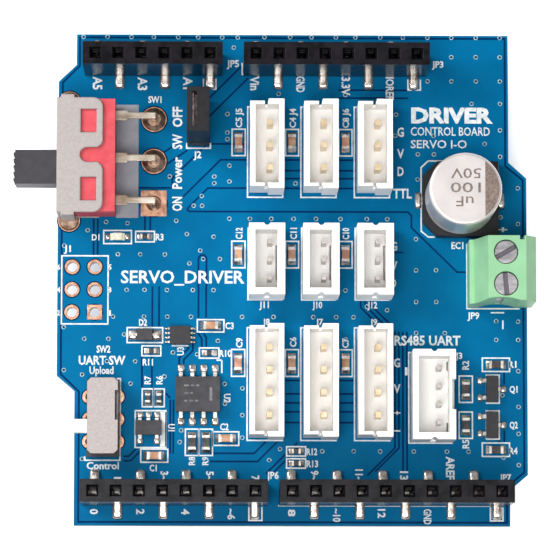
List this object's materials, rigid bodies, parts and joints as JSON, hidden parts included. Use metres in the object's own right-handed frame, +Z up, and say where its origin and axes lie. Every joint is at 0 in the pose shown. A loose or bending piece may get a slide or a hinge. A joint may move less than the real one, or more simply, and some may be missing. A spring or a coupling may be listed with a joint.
{
  "type": "servo driver board",
  "caption": "Stackable blue driver board with socket strips, white servo wire headers, green screw terminal, capacitor, jumper cap and slide switches.",
  "frame": {"origin": "middle of the bounding box in plan, at the tips of the long underside pins, on which the board stands", "axes": "+Z up out of the component side, +X towards the screw terminal side and away from the power switch lever, +Y towards the analog and power socket row"},
  "size_m": [0.0578, 0.0552, 0.0212],
  "materials": {
    "solder_mask": "satin blue coating over woven glass laminate",
    "plated_copper": "bare plated copper",
    "solder": "bright reflowed solder",
    "black_moulding": "fine matte moulding",
    "tinned_contact": "tin plated spring metal",
    "gold_post": "tin plated brass post",
    "white_moulding": "natural nylon",
    "green_moulding": "smooth polyamide",
    "screw_metal": "plated steel",
    "switch_steel": "rolled plated sheet",
    "red_board": "pressed phenolic",
    "grey_moulding": "satin moulding",
    "pale_steel": "nickel plated sheet",
    "can_aluminium": "drawn aluminium",
    "brown_ceramic": "fired ceramic",
    "black_ceramic": "glazed film on ceramic",
    "chip_mould": "filled epoxy",
    "lamp_resin": "clear resin on white base"
  },
  "bodies": {
    "board": {"analog_pin_strip": "black_moulding", "analog_socket": "black_moulding", "capacitor_base": "black_moulding", "capacitor_can": "can_aluminium", "capacitor_leads": "tinned_contact", "chip_capacitors": "brown_ceramic", "chip_end_caps": "solder", "chip_leads": "tinned_contact", "chip_resistors": "black_ceramic", "circuit_board": "solder_mask", "clamp_diode": "chip_mould", "digital_high_pin_strip": "black_moulding", "digital_high_socket": "black_moulding", "digital_low_pin_strip": "black_moulding", "digital_low_socket": "black_moulding", "four_way_header_1": "white_moulding", "four_way_header_2": "white_moulding", "four_way_header_3": "white_moulding", "four_way_pins": "gold_post", "gate_chip": "chip_mould", "jumper_header": "black_moulding", "jumper_pins": "gold_post", "line_driver_chip": "chip_mould", "mode_switch_base": "black_moulding", "mode_switch_cover": "pale_steel", "mode_switch_terminals": "tinned_contact", "plated_holes": "plated_copper", "power_pin_strip": "black_moulding", "power_socket": "black_moulding", "power_switch_base": "red_board", "power_switch_frame": "switch_steel", "power_switch_terminals": "tinned_contact", "regulator_chip": "chip_mould", "serial_header": "white_moulding", "serial_header_pins": "tinned_contact", "small_header_1": "white_moulding", "small_header_2": "white_moulding", "small_header_3": "white_moulding", "small_header_pins": "tinned_contact", "socket_contacts": "tinned_contact", "solder_joints": "solder", "status_led": "lamp_resin", "strip_pins": "gold_post", "terminal_housing": "green_moulding", "terminal_pins": "tinned_contact", "three_way_header_1": "white_moulding", "three_way_header_2": "white_moulding", "three_way_header_3": "white_moulding", "three_way_pins": "gold_post", "transistors": "chip_mould"},
    "power_switch_slider": {"power_switch_lever": "grey_moulding", "power_switch_bridge": "tinned_contact"},
    "mode_switch_slider": {"mode_switch_lever": "white_moulding", "mode_switch_bridge": "tinned_contact"},
    "terminal_screw_a": {"terminal_screw_1": "screw_metal"},
    "terminal_screw_b": {"terminal_screw_2": "screw_metal"},
    "terminal_clamp_a": {"terminal_clamp_1": "tinned_contact"},
    "terminal_clamp_b": {"terminal_clamp_2": "tinned_contact"},
    "jumper": {"jumper_cap": "black_moulding", "jumper_clip": "tinned_contact"}
  },
  "joints": [
    {"name": "power_switch_slide", "type": "slide", "parent": "board", "child": "power_switch_slider", "axis": [0, 1, 0], "range_m": [0, 0.0025]},
    {"name": "mode_switch_slide", "type": "slide", "parent": "board", "child": "mode_switch_slider", "axis": [0, 1, 0], "range_m": [0, 0.002]},
    {"name": "terminal_screw_a_turn", "type": "hinge", "parent": "board", "child": "terminal_screw_a", "pos_m": [0.02545, 0.00215, 0.01814], "axis": [0, 0, 1], "range_deg": [-1710, 0]},
    {"name": "terminal_screw_b_turn", "type": "hinge", "parent": "board", "child": "terminal_screw_b", "pos_m": [0.02545, -0.00135, 0.01814], "axis": [0, 0, 1], "range_deg": [-1710, 0]},
    {"name": "terminal_clamp_a_rise", "type": "slide", "parent": "board", "child": "terminal_clamp_a", "axis": [0, 0, 1], "range_m": [0, 0.0019]},
    {"name": "terminal_clamp_b_rise", "type": "slide", "parent": "board", "child": "terminal_clamp_b", "axis": [0, 0, 1], "range_m": [0, 0.0019]},
    {"name": "jumper_lift", "type": "slide", "parent": "board", "child": "jumper", "axis": [0, 0, 1], "range_m": [0, 0.0065]}
  ],
  "couplings": [
    {"joint": "terminal_screw_a_turn", "follows": "terminal_clamp_a_rise", "rad_per_m": -15708},
    {"joint": "terminal_screw_b_turn", "follows": "terminal_clamp_b_rise", "rad_per_m": -15708}
  ]
}
